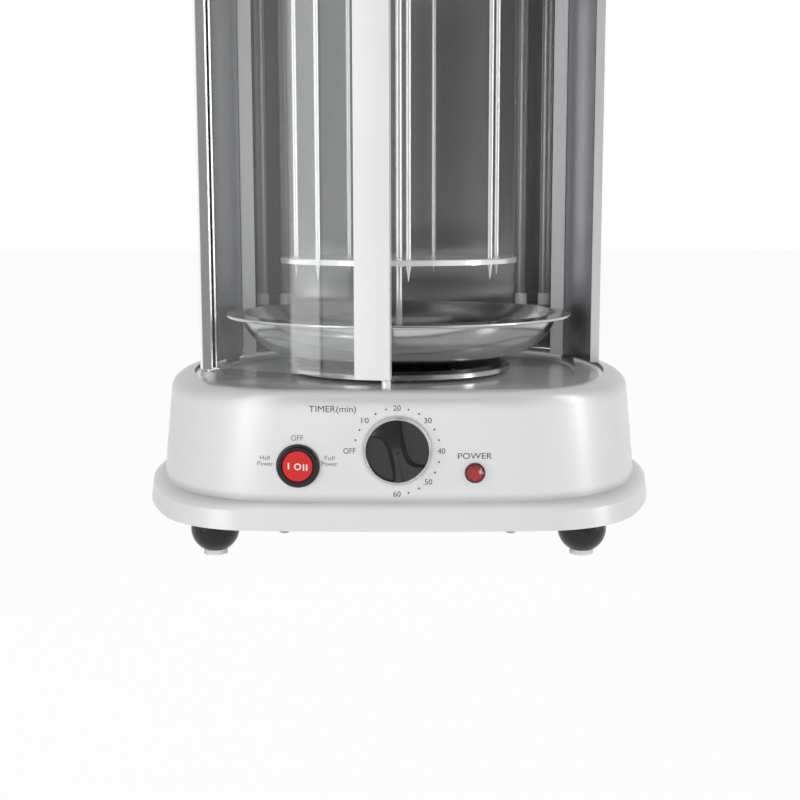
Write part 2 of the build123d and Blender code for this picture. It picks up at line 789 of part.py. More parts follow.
def switch_body():
    """Round rocker switch housing with its bezel, clips and blades."""
    pocket = 6.0
    bezel = Pos(0, 0, control_lift + switch_bezel_h / 2) * Cylinder(switch_bezel_r, switch_bezel_h)
    bezel = fillet(bezel.edges().sort_by(Axis.Z)[-1], 1.6)
    barrel_top = control_lift
    barrel_l = switch_body_d + control_lift
    bezel += Pos(0, 0, barrel_top - barrel_l / 2) * Cylinder(switch_body_r, barrel_l)
    mouth_r = rocker_r + rocker_gap
    bezel -= Pos(0, 0, control_lift + switch_bezel_h - pocket / 2) * Cylinder(mouth_r, pocket + 1)
    for x in (-5, 0, 5):
        foot = -switch_body_d - switch_blade_l / 2
        bezel += Pos(x, 0, foot) * Box(switch_blade_t, switch_blade_w, switch_blade_l)
    return panel(switch_x, switch_z).location * bezel


def rocker_pivot():
    """Distance of the rocker's pivot from the panel."""
    return control_lift + switch_bezel_h - rocker_pivot_depth


def switch_rocker():
    """Red three-position rocker, a slice of a ball with a dished face."""
    ball = Sphere(rocker_r)
    half_t = rocker_pivot_depth
    ball &= Pos(0, 0, (rocker_rise - half_t) / 2) * Box(3 * rocker_r, 3 * rocker_r, rocker_rise + half_t)
    dish_r = 30.0
    ball -= Pos(0, 0, rocker_rise - 0.9 + dish_r) * Rot(90, 0, 0) * Cylinder(dish_r, 3 * rocker_r)
    return panel(switch_x, switch_z).location * (Pos(0, 0, rocker_pivot()) * ball)


def lamp_lens():
    """Red lens with cut facets round a flat table."""
    lift = control_lift
    lens = Pos(0, 0, lift + 0.6) * Cylinder(lamp_lens_r, 1.2)
    sketch = [
        Pos(0, 0, lift + 1.2) * RegularPolygon(lamp_lens_r * 0.94, lamp_facets),
        Pos(0, 0, lift + lamp_lens_h * 0.65) * RegularPolygon(lamp_lens_r * 0.8, lamp_facets),
        Pos(0, 0, lift + lamp_lens_h) * RegularPolygon(lamp_lens_r * 0.4, lamp_facets),
    ]
    lens += loft(sketch, ruled=True)
    return panel(lamp_x, lamp_z).location * lens


def lamp_body():
    """Lamp holder behind the panel with its two leads' tags."""
    holder = Pos(0, 0, control_lift - lamp_body_d / 2) * Cylinder(lamp_body_r, lamp_body_d)
    collar_z = -base_sheet - control_lift - 1.5
    holder += Pos(0, 0, collar_z) * RegularPolygonNut(lamp_body_r * 1.6, 3.0)
    return panel(lamp_x, lamp_z).location * holder


def RegularPolygonNut(radius, height):
    """A plain hexagon prism."""
    return extrude(RegularPolygon(radius, 6), height / 2, both=True)


def terminal_block():
    """Mains terminal block on the bottom plate."""
    half_w, half_d = terminal_w / 2, terminal_d / 2
    body = block(-half_w, half_w, -half_d, half_d, plate_top_z, plate_top_z + terminal_h)
    step = block(-half_w, half_w, -half_d, -half_d / 3, plate_top_z + terminal_h / 2, plate_top_z + terminal_h + 1)
    body -= step
    body -= Rot(0, 0, 180) * step
    for index in range(4):
        x = (index - 1.5) * terminal_w / 4
        body -= cylinder(2.0, plate_top_z + terminal_h - 3, plate_top_z + terminal_h + 1, x)
    return Pos(terminal_x, terminal_y, 0) * body


def cable_gland():
    """Bush where the mains lead enters the rear wall."""
    inner_l = base_sheet + 6
    gland = Pos(0, 0, control_lift + gland_h / 2) * Cylinder(gland_r, gland_h)
    gland = fillet(gland.edges().sort_by(Axis.Z)[-1], 2)
    gland += Pos(0, 0, control_lift - inner_l / 2) * Cylinder(gland_r - 2, inner_l)
    gland -= Cylinder(gland_hole_r, 4 * gland_h)
    return gland_place() * gland


def outer_shell():
    """Wrapped steel side and rear wall with folded front flanges."""
    ring = slab(shell, wall_z, housing_top_z) - slab(inset(shell, housing_sheet), wall_z - 1, housing_top_z + 1)
    front_y = spindle_y + flange_rel_y
    reach = 2 * skirt_half_d
    ring -= block(-reach, reach, -reach, front_y, 0, 2 * housing_top_z)
    fold = slab(shell, wall_z, housing_top_z)
    for side in (-1, 1):
        x0, x1 = sorted((side * (liner_front_x(side) + tray_fit), side * reach))
        ring += fold & block(x0, x1, front_y, front_y + housing_sheet, 0, 2 * housing_top_z)
    tab_band = slab(shell, ledge_z, wall_z) - slab(inset(shell, housing_sheet), ledge_z - 1, wall_z + 1)
    half_tab = shell_tab_w / 2
    for angle in (0, 60, -60):
        window = Rot(0, 0, angle) * block(-half_tab, half_tab, 0, reach, ledge_z, wall_z)
        ring += tab_band & window
    for index in range(shell_vents):
        z = shell_vent_z - index * shell_vent_pitch
        for side in (-1, 1):
            place = Pos(side * vent_l, shell[1], z) * Rot(90, 0, 0)
            ring -= place * slot(vent_l, vent_w, 5)
    return ring


def liner_front_x(side):
    """Distance of a liner's front edge from the middle of the base."""
    rel_y = flange_rel_y + housing_sheet
    return side * reflector_x + math.sqrt(liner_r**2 - rel_y**2)


def beside(pieces):
    """The heater unit's pieces, moved a little right of the middle."""
    place = Pos(reflector_x, 0, 0)
    if isinstance(pieces, list):
        return [place * piece for piece in pieces]
    return place * pieces


def liner(side):
    """Curved inner wall of the chamber with its front-facing lip."""
    start = spindle_y + flange_rel_y + housing_sheet
    sheet = cylinder(liner_r + housing_sheet, wall_z, housing_top_z, 0, spindle_y)
    sheet -= cylinder(liner_r, wall_z - 1, housing_top_z + 1, 0, spindle_y)
    far = 2 * liner_r
    end_x = reflector_half_w + housing_sheet + tray_fit
    keep = block(end_x, far, start, far, 0, 2 * housing_top_z)
    sheet &= keep
    return sheet if side > 0 else mirror(sheet, Plane.YZ)


def lip_y():
    """Depth at which the liner meets the reflector's front lips."""
    return spindle_y + math.sqrt(liner_r**2 - reflector_half_w**2)


def heat_reflector():
    """Polished U-shaped reflector with a front-facing lip on each side."""
    z0, z1 = wall_z, housing_top_z
    half_w, back_y = reflector_half_w, reflector_back_y
    t = housing_sheet
    front_y = lip_y()
    outer = block(-half_w - t, half_w + t, front_y, back_y + t, z0, z1)
    outer = fillet(outer.edges().filter_by(Axis.Z).sort_by(Axis.Y)[-2:], reflector_corner_r + t)
    inner = block(-half_w, half_w, front_y + t, back_y, z0 - 1, z1 + 1)
    inner = fillet(inner.edges().filter_by(Axis.Z).sort_by(Axis.Y)[-2:], reflector_corner_r)
    mouth = block(-lip_end_x, lip_end_x, front_y - 1, front_y + 2 * t, z0 - 1, z1 + 1)
    return outer - inner - mouth


def element_legs():
    """Where the four legs of the two heating elements stand."""
    return [(side * x, element_y) for side in (-1, 1) for x in (element_inner_x, element_outer_x)]


def element_shelves():
    """Corner shelves that carry the elements' ceramic feet."""
    shelves = []
    for side in (-1, 1):
        x0, x1 = sorted((side * shelf_x, side * reflector_half_w))
        top_z = element_foot_z
        plate = block(x0, x1, shelf_y, reflector_back_y - tray_fit, top_z - shelf_t, top_z)
        corner_r = reflector_corner_r + tray_fit
        edges = plate.edges().filter_by(Axis.Z).group_by(Axis.Y)[-1].sort_by(Axis.X)
        plate = fillet(edges[-1] if side > 0 else edges[0], corner_r)
        for x, y in element_legs():
            if x * side > 0:
                plate -= cylinder(ceramic_r - 1.4, top_z - 2 * shelf_t, top_z + 1, x, y)
        shelves.append(plate)
    return shelves


def element_bushes():
    """Ceramic bushes at the feet of the elements."""
    bushes = []
    for x, y in element_legs():
        bush = cylinder(ceramic_r, element_foot_z, element_foot_z + ceramic_h, x, y)
        bush = fillet(bush.edges().sort_by(Axis.Z)[-1], 1.2)
        bush += cylinder(ceramic_r - 1.5, element_foot_z - 2 * shelf_t, element_foot_z, x, y)
        bore_r = terminal_pin_r + fit
        bush -= cylinder(bore_r, element_foot_z - 3 * shelf_t, element_foot_z + ceramic_h, x, y)
        bush -= cylinder(element_r + fit, element_foot_z + ceramic_h / 2, element_foot_z + ceramic_h + 1, x, y)
        bushes.append(bush)
    return bushes


def heating_element(side):
    """Hairpin tubular heater: two legs, a bend and its terminal pins."""
    span = element_outer_x - element_inner_x
    bend_r = span / 2
    leg_z = element_foot_z + ceramic_h / 2
    top_z = element_top_z - bend_r
    mid_x = side * (element_inner_x + bend_r)
    body = None
    for x in (side * element_inner_x, side * element_outer_x):
        leg = cylinder(element_r, leg_z, top_z, x, element_y)
        leg += cylinder(terminal_pin_r, leg_z - terminal_pin_l, leg_z, x, element_y)
        body = leg if body is None else body + leg
    hoop = Pos(mid_x, element_y, top_z) * Rot(90, 0, 0) * Torus(bend_r, element_r)
    upper = block(mid_x - span, mid_x + span, element_y - span, element_y + span, top_z, top_z + span)
    return body + (hoop & upper)


def element_clips():
    """Clips that hold the elements' bends to the back of the reflector."""
    clips = []
    for side in (-1, 1):
        x0, x1 = sorted((side * shelf_x, side * element_outer_x))
        z0 = element_top_z - element_r - clip_w / 2
        bend_y = element_y + element_r + fit
        strap = block(x0, x1, bend_y, bend_y + clip_t, z0 - clip_w / 2, z0 + clip_w / 2)
        a0, a1 = sorted((side * shelf_x, side * (shelf_x + clip_t)))
        arm = block(a0, a1, bend_y, reflector_back_y, z0 - clip_w / 2, z0 + clip_w / 2)
        clips.append(strap + arm)
    return clips


def top_plate():
    """Steel roof of the chamber, with bush holes and turned-up tabs for the cover."""
    plate = slab(inset(rim, tray_fit), housing_top_z, top_plate_top_z)
    tab_top_z = top_plate_top_z + cover_tab_h
    band = slab(inset(rim, tray_fit), top_plate_top_z, tab_top_z)
    band -= slab(inset(rim, tray_fit + top_sheet), top_plate_top_z, tab_top_z)
    for side in (-1, 1):
        y0, y1 = side * cover_screw_y - cover_tab_w / 2, side * cover_screw_y + cover_tab_w / 2
        plate += band & block(-skirt_half_w, skirt_half_w, y0, y1, top_plate_top_z, tab_top_z)
    for place in cover_screw_places():
        plate -= place * Cylinder(lip_hole_r, 8)
    plate -= cylinder(top_bush_r + fit, housing_top_z - 1, top_plate_top_z + 1, 0, spindle_y)
    return plate - hinge_hole(housing_top_z - 1, top_plate_top_z + 1)


def cover_form(gap, z0, z1, shoulder):
    """The outer form of the cover, or its hollow when gap is the wall."""
    levels = [outline(inset(cover, gap), z0), outline(inset(cover, cover_draft + gap), z1)]
    form = loft(levels, ruled=True)
    return fillet(form.faces().sort_by(Axis.Z)[-1].edges(), shoulder)


def top_cover():
    """Painted cap over the roof, with vents and side screw holes."""
    body = cover_form(0, cover_foot_z, cover_top_z, cover_shoulder_r)
    hollow_r = cover_shoulder_r - top_sheet
    body -= cover_form(top_sheet, cover_foot_z - 1, cover_top_z - top_sheet, hollow_r)
    for index in range(cover_vents):
        x = (index - (cover_vents - 1) / 2) * cover_vent_pitch
        place = Pos(x, cover_vent_y, cover_top_z) * Rot(0, 0, 90)
        body -= place * slot(vent_l, vent_w, 3 * top_sheet)
    for place in cover_screw_places():
        body -= place * Cylinder(lip_hole_r, 8)
    return body


def cover_screw_places():
    """Seats of the four side screws, their Z facing out."""
    half_w, side_r = cover[0], cover[4]
    sag = side_r - math.sqrt(side_r**2 - cover_screw_y**2)
    lean = cover_draft * (cover_screw_z - cover_foot_z) / (cover_top_z - cover_foot_z)
    x = half_w - sag - lean
    turn = math.degrees(math.asin(cover_screw_y / side_r))
    places = []
    for sx in (-1, 1):
        for sy in (-1, 1):
            heading = turn * sy if sx > 0 else 180 - turn * sy
            places.append(Pos(sx * x, sy * cover_screw_y, cover_screw_z) * Rot(0, 0, heading) * Rot(0, 90, 0))
    return places


def top_cover_screws():
    """Domed screws in the cover's sides."""
    screw = domed_screw(lip_hole_r - fit, 5.0, screw_head_r, screw_head_h)
    return [place * Pos(0, 0, tray_fit) * screw for place in cover_screw_places()]


def top_spindle_bush():
    """Deep bush in the roof that steadies the spindle."""
    z0 = housing_top_z - top_bush_flange_h
    bush = cylinder(top_bush_flange_r, z0, housing_top_z, 0, spindle_y)
    bush = chamfer(bush.edges().sort_by(Axis.Z)[0], 0.8)
    bush += cylinder(top_bush_r, housing_top_z, housing_top_z + top_bush_h, 0, spindle_y)
    bore_top = spindle_top_z + 1
    return bush - cylinder(spindle_r + fit, z0 - 1, bore_top, 0, spindle_y)


def hinge_bush(face_z, into):
    """Flanged bush for a door pin; into is +1 upwards, -1 downwards."""
    flange = sorted((face_z, face_z - into * hinge_bush_flange_h))
    body = sorted((face_z, face_z + into * (hinge_pin_depth - 1)))
    bush = cylinder(hinge_bush_flange_r, flange[0], flange[1], hinge_x, hinge_y)
    bush += cylinder(hinge_bush_r, body[0], body[1], hinge_x, hinge_y)
    span = hinge_pin_depth + hinge_bush_flange_h
    return bush - cylinder(hinge_pin_r + fit, face_z - span, face_z + span, hinge_x, hinge_y)


def door_stop():
    """Small post on the tray under the closed door's free edge."""
    x, y = door_point(door_r - strip_t - stop_r, door_angle(1) - along(strip_w / 6))
    post = cylinder(stop_r, ledge_z, door_foot_z - stop_gap, x, y)
    return chamfer(post.edges().sort_by(Axis.Z)[-1], 0.5)


def door_centre():
    """Centre of the door's curve, behind it."""
    chord = Vector(door_end_x - hinge_x, door_end_y - hinge_y)
    middle = Vector(hinge_x, hinge_y) + chord / 2
    reach = math.sqrt(door_r**2 - (chord.length / 2) ** 2)
    unit = chord.normalized()
    return middle + Vector(-unit.Y, unit.X) * reach


def door_angle(end):
    """Bearing of the hinge, 0, or of the free edge, 1, from the centre."""
    centre = door_centre()
    x, y = ((hinge_x, hinge_y), (door_end_x, door_end_y))[end]
    return math.degrees(math.atan2(y - centre.Y, x - centre.X))


def door_point(radius, angle):
    """A point on the door's curve."""
    centre = door_centre()
    return (
        centre.X + radius * math.cos(math.radians(angle)),
        centre.Y + radius * math.sin(math.radians(angle)),
    )


def door_sector(r0, r1, a0, a1, z0, z1):
    """A curved upright panel between two radii and two bearings."""
    mid = (a0 + a1) / 2
    edges = [
        ThreePointArc(door_point(r1, a0), door_point(r1, mid), door_point(r1, a1)),
        Line(door_point(r1, a1), door_point(r0, a1)),
        ThreePointArc(door_point(r0, a1), door_point(r0, mid), door_point(r0, a0)),
        Line(door_point(r0, a0), door_point(r1, a0)),
    ]
    return extrude(Pos(0, 0, z0) * make_face(edges), z1 - z0)


def along(length):
    """An arc length on the door as an angle."""
    return math.degrees(length / door_r)


def glass_bounds():
    """The glass's two radii and two bearings."""
    half_t = glass_t / 2
    return (door_r - half_t, door_r + half_t, door_angle(0), door_angle(1) - along(glass_inset))


def door_glass():
    """Curved toughened glass."""
    r0, r1, a0, a1 = glass_bounds()
    return door_sector(r0, r1, a0, a1, door_foot_z + glass_inset, door_head_z - glass_inset)


def door_channel(a0, a1):
    """A steel channel folded round an upright edge of the glass."""
    r0, r1, g0, g1 = glass_bounds()
    body = door_sector(r0 - strip_t, r1 + strip_t, a0, a1, door_foot_z, door_head_z)
    slot_z0, slot_z1 = door_foot_z + glass_inset - glass_fit, door_head_z - glass_inset + glass_fit
    room = along(glass_fit)
    return body - door_sector(r0 - glass_fit, r1 + glass_fit, g0 - room, g1 + room, slot_z0, slot_z1)


def door_handle_strip():
    """Wide channel on the free edge, pulled by hand."""
    end = door_angle(1)
    strip = door_channel(end - along(strip_w), end)
    return fillet(strip.edges().filter_by(Axis.Z).sort_by(Axis.Y)[0:1], strip_t / 2)


def door_hinge_profile():
    """Narrow channel on the hinge side."""
    half = along(hinge_profile_w) / 2
    return door_channel(door_angle(0) - half, door_angle(0) + half)


def door_hinge_pins():
    """Pins at the foot and head of the hinge profile."""
    foot = cylinder(hinge_pin_r, ledge_z - hinge_pin_depth, door_foot_z, hinge_x, hinge_y)
    head = cylinder(hinge_pin_r, door_head_z, housing_top_z + hinge_pin_depth, hinge_x, hinge_y)
    return [foot, head]


def nodes():
    """Every piece of the grill by name."""
    made = {
        "base_housing": base_housing(),
        "bottom_plate": bottom_plate(),
        "base_screws": base_screws(),
        "foot_pads": foot_pads(),
        "foot_screws": foot_screws(),
        "tray_plate": tray_plate(),
        "turntable_bush": turntable_bush(),
        "motor_bracket": motor_bracket(),
        "gear_motor": gear_motor(),
        "timer_unit": timer_unit(),
        "switch_body": switch_body(),
        "lamp_lens": lamp_lens(),
        "lamp_body": lamp_body(),
        "terminal_block": terminal_block(),
        "cable_gland": cable_gland(),
        "outer_shell": outer_shell(),
        "left_liner": beside(liner(-1)),
        "right_liner": beside(liner(1)),
        "heat_reflector": beside(heat_reflector()),
        "element_shelves": beside(element_shelves()),
        "element_bushes": beside(element_bushes()),
        "left_heating_element": beside(heating_element(-1)),
        "right_heating_element": beside(heating_element(1)),
        "element_clips": beside(element_clips()),
        "top_plate": top_plate(),
        "top_cover": top_cover(),
        "top_cover_screws": top_cover_screws(),
        "top_spindle_bush": top_spindle_bush(),
        "lower_hinge_bush": hinge_bush(ledge_z, -1),
        "upper_hinge_bush": hinge_bush(housing_top_z, 1),
        "door_stop": door_stop(),
        "drive_shaft": drive_shaft(),
        "turntable": turntable(),
        "drive_hub": drive_hub(),
        "drive_hub_screws": drive_hub_screws(),
        "drip_pan": drip_pan(),
        "spindle": spindle(),
        "lower_skewer_disc": skewer_disc(lower_disc_z),
        "upper_skewer_disc": skewer_disc(upper_disc_z),
        "disc_collars": disc_collars(),
        "timer_knob": timer_knob(),
        "knob_ring": knob_ring(),
        "timer_shaft": timer_shaft(),
        "switch_rocker": switch_rocker(),
        "door_glass": door_glass(),
        "door_handle_strip": door_handle_strip(),
        "door_hinge_profile": door_hinge_profile(),
        "door_hinge_pins": door_hinge_pins(),
    }
    names = ["front_left_foot", "front_right_foot", "rear_left_foot", "rear_right_foot"]
    for name, (x, y) in zip(names, foot_places()):
        made[name] = Pos(x, y, 0) * foot()
    for index, (x, y) in enumerate(skewer_places()):
        made[f"skewer_{index + 1}"] = skewer(x, y)
    return made


os.makedirs("parts", exist_ok=True)
for node, shape in nodes().items():
    if isinstance(shape, list):
        shape = Compound(children=shape)
    shape = Pos(0, middle_y, 0) * shape
    export_step(shape, f"parts/{node}.step")
    print(node, round(shape.volume), shape.bounding_box())
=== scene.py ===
import json
import math

import bpy
from mathutils import Matrix, Vector


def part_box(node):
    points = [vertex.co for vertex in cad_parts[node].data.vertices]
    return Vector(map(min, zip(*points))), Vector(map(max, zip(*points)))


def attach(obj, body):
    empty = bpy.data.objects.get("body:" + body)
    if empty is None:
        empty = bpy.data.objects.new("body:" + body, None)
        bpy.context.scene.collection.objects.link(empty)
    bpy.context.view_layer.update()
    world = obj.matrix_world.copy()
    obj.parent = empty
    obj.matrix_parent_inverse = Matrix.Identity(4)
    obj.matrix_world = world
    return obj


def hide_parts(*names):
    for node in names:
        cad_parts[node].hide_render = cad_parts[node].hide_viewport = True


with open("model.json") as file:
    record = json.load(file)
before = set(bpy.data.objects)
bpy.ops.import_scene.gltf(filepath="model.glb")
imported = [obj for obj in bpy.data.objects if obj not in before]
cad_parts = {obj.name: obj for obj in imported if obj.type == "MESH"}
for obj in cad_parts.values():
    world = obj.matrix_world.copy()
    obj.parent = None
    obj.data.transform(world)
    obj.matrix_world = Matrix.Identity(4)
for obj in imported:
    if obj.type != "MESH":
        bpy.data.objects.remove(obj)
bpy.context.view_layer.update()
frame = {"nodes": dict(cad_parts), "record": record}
nodes = frame["nodes"]
bpy.ops.object.select_all(action="DESELECT")

MM = 0.001
SPINDLE = Vector((0.0, -8.83, 0.0)) * MM
UPRIGHT = (math.pi / 2, 0, 0)
BACKWARDS = Vector((0.0, 1.0, 0.0))
WHITE = (1.0, 1.0, 1.0, 1.0)

# Printing: how far it stands off its carrier, how thick it is and how finely it is drawn
PRINT_LIFT = 0.09 * MM
PRINT_THICKNESS = 0.06 * MM
PRINT_CURVE_STEPS = 6
PRINT_RAY_START_Y = -1.0
DOT_CORNERS = 20
RING_CORNERS = 32
BAR_CUTS = 4

# Words: text, place across and up, width and cap height, in millimetres
TIMER_WORDS = [
    ("TIMER(min)", -32.9, 85.75, 23.9, 4.3),
    ("OFF", -24.4, 64.8, 6.2, 2.9),
    ("10", -16.4, 80.45, 3.8, 2.8),
    ("20", -0.15, 86.85, 3.8, 2.8),
    ("30", 15.55, 80.45, 3.8, 2.8),
    ("40", 22.45, 64.75, 3.8, 2.8),
    ("50", 15.85, 48.8, 3.8, 2.8),
    ("60", -0.25, 42.6, 3.8, 2.8),
]
LAMP_WORDS = [("POWER", 39.5, 62.1, 17.4, 3.1)]
SWITCH_WORDS = [
    ("OFF", -51.1, 71.3, 6.2, 2.8),
    ("Half", -67.7, 60.8, 5.4, 2.2),
    ("Power", -67.7, 57.8, 8.2, 2.2),
    ("Full", -34.6, 61.1, 5.0, 2.2),
    ("Power", -34.6, 58.1, 8.2, 2.2),
]

# Dots between the dial's numbers, as places across and up, in millimetres
TIMER_DOTS = [
    (-21.3, 70.4), (-19.2, 75.6), (-11.05, 83.8), (-5.7, 86.1), (5.7, 85.95), (11.0, 83.8),
    (18.85, 75.8), (21.15, 70.4), (21.2, 59.1), (19.15, 53.7), (11.0, 45.45), (5.65, 43.2),
]
DOT_RADIUS = 0.5

# Marks on the rocker, in millimetres: the middles of the bars, and the ring between them
ROCKER_BARS = [(-55.4, 57.3), (-47.7, 56.6), (-46.1, 56.6)]
ROCKER_BAR_W = 0.75
ROCKER_BAR_H = 3.3
ROCKER_RING = (-50.75, 56.9)
ROCKER_RING_R = 1.75
ROCKER_RING_W = 0.6

# Drip pan, in millimetres: radii, depth, sheet and rolled edge, and the roll's angles in degrees
PAN_HOLE_R = 5.05
PAN_FLAT_R = 62.0
PAN_MOUTH_R = 92.3
PAN_DEPTH = 24.2
PAN_SHEET = 0.9
PAN_EDGE_R = 0.9
PAN_EDGE_CENTRE_R = 99.1
PAN_RIM_DROP = 1.3
PAN_BEND_STEPS = 20
PAN_ROLL_STEPS = 20
PAN_ROLL_START = 210
PAN_ROLL_STEP = 12
PAN_SPIN_STEPS = 192
MERGE_DISTANCE = 0.000002
SMOOTH_ANGLE = math.radians(35)

# Directions of the grain on sheet, how fine spun rings are, and how deep a bump is, in metres
UPRIGHT_GRAIN = (900.0, 900.0, 12.0)
LEVEL_GRAIN = (12.0, 900.0, 900.0)
RING_PITCH = 1500.0
RING_CLIMB = 1.7
METAL_BUMP = 0.0002
SOFT_BUMP = 0.0003

# Silver lacquer
PAINT_COLOUR = (0.76, 0.765, 0.765)
PAINT_ROUGHNESS = 0.34
PAINT_CLOUD_SCALE = 25.0
PAINT_CLOUD_AMOUNT = 0.05
PAINT_SHADER = {"Metallic": 0.14, "Coat_Weight": 0.25, "Coat_Roughness": 0.2}

# Base: heights of the crease over the skirt and of the shoulder, in metres, and the painted shade
# on each
CREASE_Z = 0.0385
CREASE_REACH = 0.0045
CREASE_PAINTED_SHADE = 0.68
SHOULDER_START_Z = 0.084
SHOULDER_END_Z = 0.0945
SHOULDER_PAINTED_SHADE = 0.74

# Reflector: where its front lips start and end, in metres, and how metallic they and it are
LIP_FRONT_Y = 0.0437
LIP_BACK_Y = 0.046
LIP_METALLIC = 0.0
REFLECTOR_METALLIC = 0.88

# Hinge profile: its middle and where its rolled edges start and end, in metres, the shade of its
# face and the painted highlight on its edges
HINGE_FACE_MIDDLE = (-0.1043, 0.0, 0.0)
HINGE_EDGE_START = 0.0023
HINGE_EDGE_END = 0.0032
HINGE_FACE_SHADE = 0.26
HINGE_EDGE_PAINTED_HIGHLIGHT = 0.95

# Lamp: its axis and the lens, in metres, and the lens's painted highlight at the middle and
# painted shade at the rim
LAMP_AXIS = (0.0395, 0.0, 0.0535)
LENS_R = 0.0052
LENS_MIDDLE_R = 0.3 * LENS_R
LENS_MIDDLE_PAINTED_HIGHLIGHT = 1.5
LENS_RIM_PAINTED_SHADE = 0.35

# Nodes with a finish of their own inside their slot's family
OWN_FINISHES = {
    "tray_plate": "tray_steel",
    "outer_shell": "shell_steel",
    "heat_reflector": "reflector_steel",
    "top_cover": "cover_paint",
    "left_liner": "left_liner_steel",
    "right_liner": "right_liner_steel",
    "door_hinge_profile": "hinge_steel",
    "lower_skewer_disc": "lower_skewer_disc_steel",
    "upper_skewer_disc": "upper_skewer_disc_steel",
    "timer_knob": "knob_plastic",
    "base_screws": "zinc_screws",
}

# Floor and drape, in metres, and how bright the floor is seen and the world shines
FLOOR_SIZE = 12.0
FLOOR_WHITE_SHARE = 0.96
DRAPE_PLACE = (0, -1.9, 1.1)
DRAPE_SIZE = (2.6, 2.2, 1.0)
WORLD_STRENGTH = 0.12

# Lamps: bearing in degrees, then distance, height, width, tall side, power and height aimed at
LAMPS = {
    "left_softbox": (-47, 0.65, 0.46, 0.12, 0.9, 1.1, 0.46),
    "left_card": (-35, 0.65, 0.46, 0.13, 0.9, 0.5, 0.46),
    "right_softbox": (74, 1.2, 0.5, 0.18, 1.0, 5.0, 0.2),
    "top_softbox": (20, 0.5, 1.8, 2.4, 2.4, 1.4, 0.2),
    "front_fill": (0, 1.6, 0.3, 1.4, 0.9, 14.0, 0.2),
}

# Camera: its place, its own axes, and its sensor and lens in millimetres
CAMERA_PLACE = Vector((6.93, -769.99, 183.92)) * MM
CAMERA_RIGHT = (0.99996, 0.00832, -0.00163)
CAMERA_UP = (0.00044, 0.14167, 0.98991)
CAMERA_BACK = (0.00846, -0.98988, 0.14166)
CAMERA_SENSOR = 36.0
CAMERA_LENS = 58.37

# Sockets of the Mix node for colours
MIX_FIRST = 6
MIX_SECOND = 7
MIX_RESULT = 2


# Shader node groups

def add(tree, kind, **values):
    """A node with its properties and input values set by name."""
    node = tree.nodes.new(kind)
    for name, value in values.items():
        key = name.replace("_", " ")
        if key in node.inputs:
            node.inputs[key].default_value = value
        else:
            setattr(node, name, value)
    return node


def math_node(tree, operation, first, second=None):
    """A Math node fed by sockets or numbers."""
    node = add(tree, "ShaderNodeMath", operation=operation)
    for index, value in enumerate((first, second)):
        if isinstance(value, bpy.types.NodeSocket):
            tree.links.new(value, node.inputs[index])
        elif value is not None:
            node.inputs[index].default_value = value
    return node.outputs[0]


def axes(tree, vector):
    """The X, Y and Z of a vector."""
    split = tree.nodes.new("ShaderNodeSeparateXYZ")
    tree.links.new(vector, split.inputs[0])
    return split.outputs


def distance_from_axis(tree, first, second):
    """How far a place is from an axis, from its two coordinates across it."""
    first = math_node(tree, "MULTIPLY", first, first)
    second = math_node(tree, "MULTIPLY", second, second)
    return math_node(tree, "SQRT", math_node(tree, "ADD", first, second))


def new_group(name, pattern, pattern_kind):
    """An empty shader group from a vector, a pattern and an amount to a shade and a height."""
    group = bpy.data.node_groups.new(name, "ShaderNodeTree")
    kinds = {"Vector": "NodeSocketVector", pattern: pattern_kind, "Amount": "NodeSocketFloat"}
    for socket, kind in kinds.items():
        group.interface.new_socket(name=socket, in_out="INPUT", socket_type=kind)
    for socket in ("Shade", "Height"):
        group.interface.new_socket(name=socket, in_out="OUTPUT", socket_type="NodeSocketFloat")
    return group, group.nodes.new("NodeGroupInput"), group.nodes.new("NodeGroupOutput")


def put_out(group, start, end, noise):
    """The group's outputs: the noise as a shade about one, and as a height."""
    spread = math_node(group, "SUBTRACT", noise.outputs["Fac"], 0.5)
    spread = math_node(group, "MULTIPLY", spread, start.outputs["Amount"])
    group.links.new(math_node(group, "ADD", spread, 1.0), end.inputs["Shade"])
    group.links.new(noise.outputs["Fac"], end.inputs["Height"])
    return group


def make_brushed_grain():
    """Fine streaks along one direction, as on brushed sheet."""
    group, start, end = new_group("brushed_grain", "Along", "NodeSocketVector")
    stretch = add(group, "ShaderNodeVectorMath", operation="MULTIPLY")
    group.links.new(start.outputs["Vector"], stretch.inputs[0])
    group.links.new(start.outputs["Along"], stretch.inputs[1])
    streaks = add(group, "ShaderNodeTexNoise", Scale=1.0, Detail=3.0, Roughness=0.6)
    group.links.new(stretch.outputs[0], streaks.inputs["Vector"])
    return put_out(group, start, end, streaks)


def make_spun_rings():
    """Fine rings round the spindle, as a polishing wheel leaves them."""
    group, start, end = new_group("spun_rings", "Pitch", "NodeSocketFloat")
    place = axes(group, start.outputs["Vector"])
    radius = distance_from_axis(group, place["X"], place["Y"])
    along = math_node(group, "ADD", radius, math_node(group, "MULTIPLY", place["Z"], RING_CLIMB))
    count = math_node(group, "MULTIPLY", along, start.outputs["Pitch"])
    line = add(group, "ShaderNodeCombineXYZ")
    group.links.new(count, line.inputs["X"])
    rings = add(group, "ShaderNodeTexNoise", Scale=1.0, Detail=2.0)
    group.links.new(line.outputs[0], rings.inputs["Vector"])
    return put_out(group, start, end, rings)


def make_mottle():
    """Soft cloudy variation, for paint, plastic and handled metal."""
    group, start, end = new_group("mottle", "Scale", "NodeSocketFloat")
    clouds = add(group, "ShaderNodeTexNoise", Detail=4.0, Roughness=0.55)
    for socket in ("Vector", "Scale"):
        group.links.new(start.outputs[socket], clouds.inputs[socket])
    return put_out(group, start, end, clouds)


brushed_grain = make_brushed_grain()
spun_rings = make_spun_rings()
mottle = make_mottle()


# Finishes

finishes = {}


